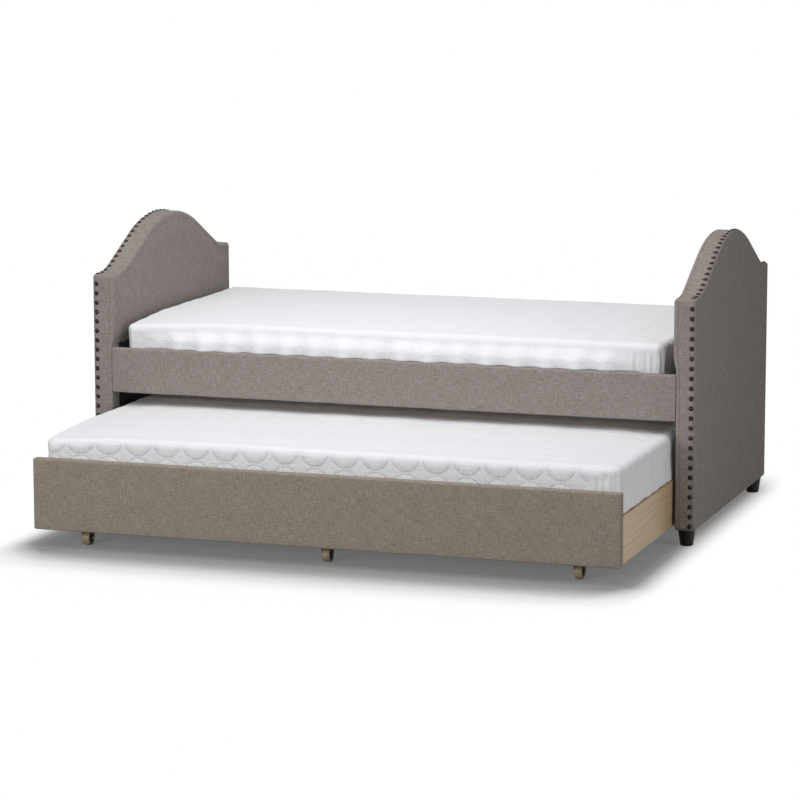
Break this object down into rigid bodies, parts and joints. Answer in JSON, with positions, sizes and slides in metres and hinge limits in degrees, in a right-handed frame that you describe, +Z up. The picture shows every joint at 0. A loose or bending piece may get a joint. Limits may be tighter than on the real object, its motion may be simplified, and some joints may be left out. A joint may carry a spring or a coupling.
{
  "type": "trundle bed",
  "caption": "Upholstered day bed with arched, nail-trimmed ends, a quilted mattress on slats, and a padded-front trundle with its own mattress that rolls out on casters.",
  "frame": {"origin": "on the floor, under the middle of the whole object as pictured, with the trundle pulled out", "axes": "+X along the bed to its right end as seen from the front, +Y to the rear, +Z up"},
  "size_m": [2.1, 1.721, 0.982],
  "materials": {
    "upholstery": "woven linen look, matte",
    "frame_wood": "sawn softwood",
    "foam": "cut foam sheet",
    "lining": "black non-woven lining",
    "nail": "dark antique bronze",
    "foot": "black lacquer",
    "steel": "zinc plated",
    "board_wood": "clear satin lacquer on light wood",
    "slat_wood": "planed pine",
    "mattress": "white quilted knit",
    "caster_fork": "dark bronze paint",
    "caster_wheel": "moulded nylon"
  },
  "bodies": {
    "bed": {"left_end_frame": "frame_wood", "left_end_foam": "foam", "left_end_cover": "upholstery", "left_outer_panel": "upholstery", "left_inner_lining": "lining", "left_nailheads": "nail", "left_front_foot": "foot", "left_rear_foot": "foot", "right_end_frame": "frame_wood", "right_end_foam": "foam", "right_end_cover": "upholstery", "right_outer_panel": "upholstery", "right_inner_lining": "lining", "right_nailheads": "nail", "right_front_foot": "foot", "right_rear_foot": "foot", "foot_studs": "steel", "front_rail_core": "frame_wood", "front_rail_cover": "upholstery", "front_slat_ledger": "frame_wood", "rear_rail_core": "frame_wood", "rear_rail_cover": "upholstery", "rear_slat_ledger": "frame_wood", "bed_slats": "slat_wood", "bed_slat_screws": "steel", "corner_brackets": "steel", "bracket_bolts": "steel", "threaded_inserts": "steel", "bracket_screws": "steel", "upper_mattress": "mattress"},
    "trundle": {"trundle_front_core": "frame_wood", "trundle_front_cover": "upholstery", "trundle_left_side": "board_wood", "trundle_right_side": "board_wood", "trundle_back_board": "board_wood", "trundle_front_ledger": "frame_wood", "trundle_back_ledger": "frame_wood", "trundle_slats": "slat_wood", "trundle_slat_screws": "steel", "trundle_corner_blocks": "frame_wood", "trundle_mattress": "mattress", "caster_axles": "steel", "caster_screws": "steel", "trundle_left_beam": "frame_wood", "front_left_caster_fork": "caster_fork", "rear_left_caster_fork": "caster_fork", "trundle_centre_beam": "frame_wood", "front_centre_caster_fork": "caster_fork", "rear_centre_caster_fork": "caster_fork", "trundle_right_beam": "frame_wood", "front_right_caster_fork": "caster_fork", "rear_right_caster_fork": "caster_fork"},
    "front_left_wheel": {"front_left_caster_wheel": "caster_wheel"},
    "rear_left_wheel": {"rear_left_caster_wheel": "caster_wheel"},
    "front_centre_wheel": {"front_centre_caster_wheel": "caster_wheel"},
    "rear_centre_wheel": {"rear_centre_caster_wheel": "caster_wheel"},
    "front_right_wheel": {"front_right_caster_wheel": "caster_wheel"},
    "rear_right_wheel": {"rear_right_caster_wheel": "caster_wheel"}
  },
  "joints": [
    {"name": "trundle_slide", "type": "slide", "parent": "bed", "child": "trundle", "axis": [0, -1, 0], "range_m": [-0.65, 0.45]},
    {"name": "front_left_wheel_roll", "type": "hinge", "parent": "trundle", "child": "front_left_wheel", "pos_m": [-0.828, -0.7715, 0.025], "axis": [1, 0, 0], "continuous": true},
    {"name": "rear_left_wheel_roll", "type": "hinge", "parent": "trundle", "child": "rear_left_wheel", "pos_m": [-0.828, 0.0705, 0.025], "axis": [1, 0, 0], "continuous": true},
    {"name": "front_centre_wheel_roll", "type": "hinge", "parent": "trundle", "child": "front_centre_wheel", "pos_m": [0, -0.7715, 0.025], "axis": [1, 0, 0], "continuous": true},
    {"name": "rear_centre_wheel_roll", "type": "hinge", "parent": "trundle", "child": "rear_centre_wheel", "pos_m": [0, 0.0705, 0.025], "axis": [1, 0, 0], "continuous": true},
    {"name": "front_right_wheel_roll", "type": "hinge", "parent": "trundle", "child": "front_right_wheel", "pos_m": [0.828, -0.7715, 0.025], "axis": [1, 0, 0], "continuous": true},
    {"name": "rear_right_wheel_roll", "type": "hinge", "parent": "trundle", "child": "rear_right_wheel", "pos_m": [0.828, 0.0705, 0.025], "axis": [1, 0, 0], "continuous": true}
  ],
  "couplings": [
    {"joint": "front_left_wheel_roll", "follows": "trundle_slide", "rad_per_m": 40},
    {"joint": "rear_left_wheel_roll", "follows": "trundle_slide", "rad_per_m": 40},
    {"joint": "front_centre_wheel_roll", "follows": "trundle_slide", "rad_per_m": 40},
    {"joint": "rear_centre_wheel_roll", "follows": "trundle_slide", "rad_per_m": 40},
    {"joint": "front_right_wheel_roll", "follows": "trundle_slide", "rad_per_m": 40},
    {"joint": "rear_right_wheel_roll", "follows": "trundle_slide", "rad_per_m": 40}
  ]
}
